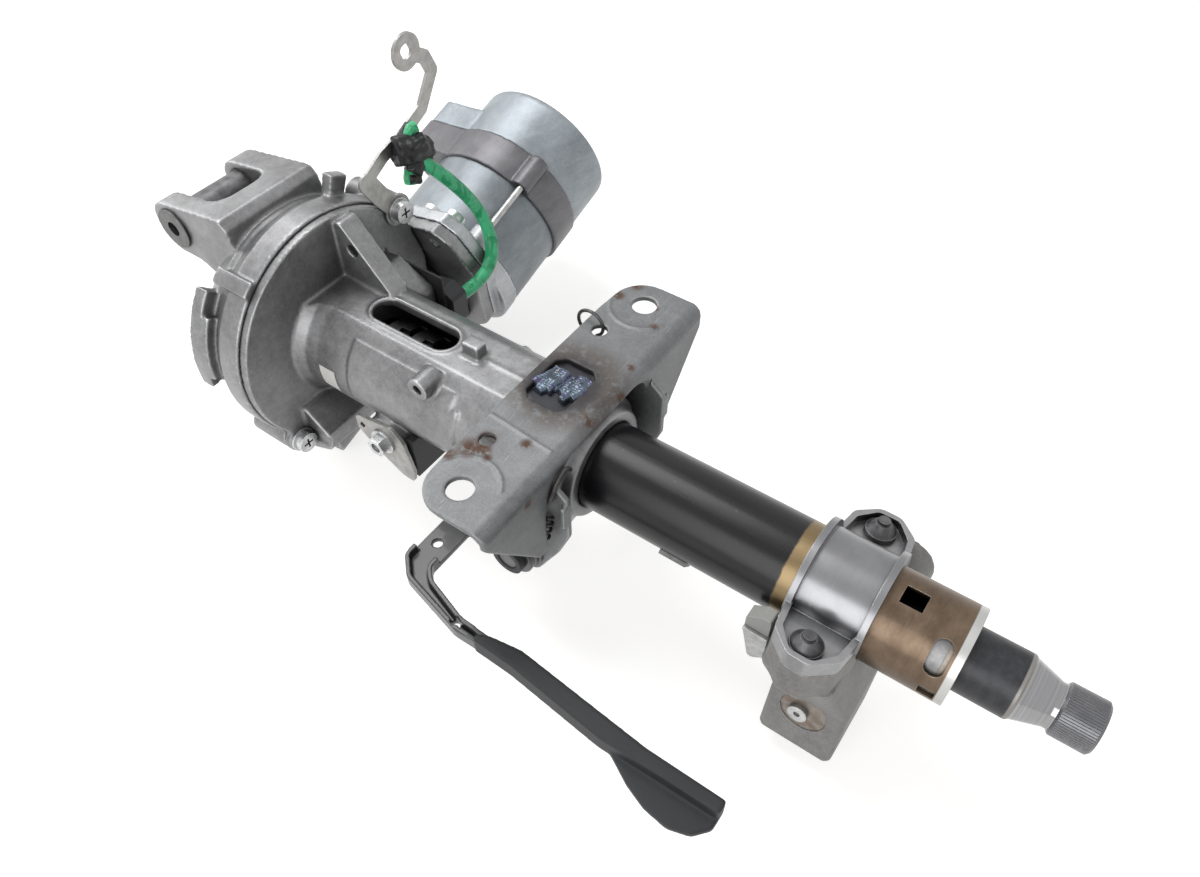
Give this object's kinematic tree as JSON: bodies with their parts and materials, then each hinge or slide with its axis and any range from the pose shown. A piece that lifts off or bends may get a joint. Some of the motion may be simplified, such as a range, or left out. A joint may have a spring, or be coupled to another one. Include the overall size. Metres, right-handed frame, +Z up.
{
  "type": "steering column",
  "caption": "Electric power-assisted steering column with worm drive and motor, tilt bracket and lever, sliding jacket tube, clamped steering lock and serrated wheel shaft.",
  "frame": {"origin": "on the steering axis, in the plane of the lower pivot axis, inside the serrated output shaft", "axes": "+X along the steering axis towards the steering wheel, +Y towards the motor side, +Z up, along the normal of the mounting plate"},
  "size_m": [0.5062, 0.3317, 0.2233],
  "materials": {
    "cast": "satin cast",
    "motor_alloy": "satin cast",
    "motor_can": "satin",
    "zinc_steel": "zinc plated",
    "bushing_steel": "dark satin",
    "bearing_steel": "ground",
    "shaft_steel": "turned",
    "upper_shaft_steel": "oxide black with bright ends",
    "nylon": "moulded",
    "rubber": "matte",
    "rotor": "laminated",
    "black_plastic": "moulded",
    "jacket_black": "black paint, bronze at the wheel end",
    "cap_steel": "bright",
    "bolt_dark": "phosphate grey",
    "lock_zinc": "grey zinc casting",
    "white_plastic": "moulded",
    "bracket_steel": "weathered zinc with stains",
    "weld": "heat blued",
    "wire": "dark wire",
    "lever_black": "satin black",
    "handle_plastic": "fine grained",
    "cable_green": "taped sleeve"
  },
  "bodies": {
    "bracket": {"mounting_bracket": "bracket_steel", "tilt_bracket": "bracket_steel", "weld_beads": "weld", "wire_ring": "wire"},
    "column": {"gear_housing": "cast", "column_housing": "cast", "housing_screws": "zinc_steel", "pivot_collar": "bushing_steel", "pivot_bushes": "bushing_steel", "output_bearing": "bearing_steel", "cover_bearing": "bearing_steel", "sensor_coil": "black_plastic", "worm_bearings": "bearing_steel", "worm_end_plug": "shaft_steel", "motor_flange": "motor_alloy", "motor_body": "motor_can", "motor_mid_frame": "motor_alloy", "motor_end_cap": "motor_alloy", "motor_rear_bearing": "bearing_steel", "motor_through_bolts": "zinc_steel", "motor_screws": "zinc_steel", "motor_stator": "rotor", "harness_bracket": "zinc_steel", "harness_clip": "black_plastic", "sensor_cable": "cable_green", "sensor_connector": "black_plastic", "sensor_box": "black_plastic", "sensor_bracket": "zinc_steel", "sensor_bolt": "zinc_steel", "tilt_bolt": "zinc_steel", "tilt_nut": "zinc_steel", "fixed_cam": "zinc_steel"},
    "jacket": {"jacket_tube": "jacket_black", "jacket_stop": "zinc_steel", "upper_bearing": "bearing_steel", "bearing_retainer": "zinc_steel", "lock_clamp_cap": "cap_steel", "shear_bolts": "bolt_dark", "lock_housing": "lock_zinc", "lock_cover": "lock_zinc", "lock_screw": "lock_zinc", "lock_solenoid": "black_plastic", "lock_plug": "white_plastic", "lock_plug_clip": "zinc_steel"},
    "upper_shaft_group": {"upper_shaft": "upper_shaft_steel", "lock_collar": "shaft_steel"},
    "wheel_group": {"output_shaft": "shaft_steel", "worm_wheel_hub": "shaft_steel", "worm_wheel_rim": "nylon", "torsion_bar": "shaft_steel", "input_shaft": "shaft_steel", "sensor_rings": "shaft_steel"},
    "worm_group": {"worm_shaft": "shaft_steel", "worm_coupling": "rubber", "motor_rotor": "rotor"},
    "lever": {"lever_arm": "lever_black", "lever_hub": "black_plastic", "lever_handle": "handle_plastic", "moving_cam": "bearing_steel"},
    "lock_bolt_group": {"lock_bolt": "shaft_steel"}
  },
  "joints": [
    {"name": "tilt", "type": "hinge", "parent": "bracket", "child": "column", "pos_m": [0, 0, 0.049], "axis": [0, 1, 0], "range_deg": [0, 2.5]},
    {"name": "telescope", "type": "slide", "parent": "column", "child": "jacket", "axis": [1, 0, 0], "range_m": [-0.04, 0]},
    {"name": "wheel_spin", "type": "hinge", "parent": "column", "child": "wheel_group", "pos_m": [0, 0, 0], "axis": [1, 0, 0], "continuous": true},
    {"name": "upper_shaft_spin", "type": "hinge", "parent": "jacket", "child": "upper_shaft_group", "pos_m": [0.3, 0, 0], "axis": [1, 0, 0], "continuous": true},
    {"name": "worm_spin", "type": "hinge", "parent": "column", "child": "worm_group", "pos_m": [0.068, 0.01837, -0.05554], "axis": [0, 0.9494, 0.314], "continuous": true},
    {"name": "lever_swing", "type": "hinge", "parent": "column", "child": "lever", "pos_m": [0.234, 0, -0.036], "axis": [0, 1, 0], "range_deg": [0, 50]},
    {"name": "lock_slide", "type": "slide", "parent": "jacket", "child": "lock_bolt_group", "axis": [0, 0.1444, 0.9895], "range_m": [0, 0.006]}
  ],
  "couplings": [
    {"joint": "upper_shaft_spin", "follows": "wheel_spin", "ratio": 1},
    {"joint": "worm_spin", "follows": "wheel_spin", "ratio": -20.5}
  ]
}
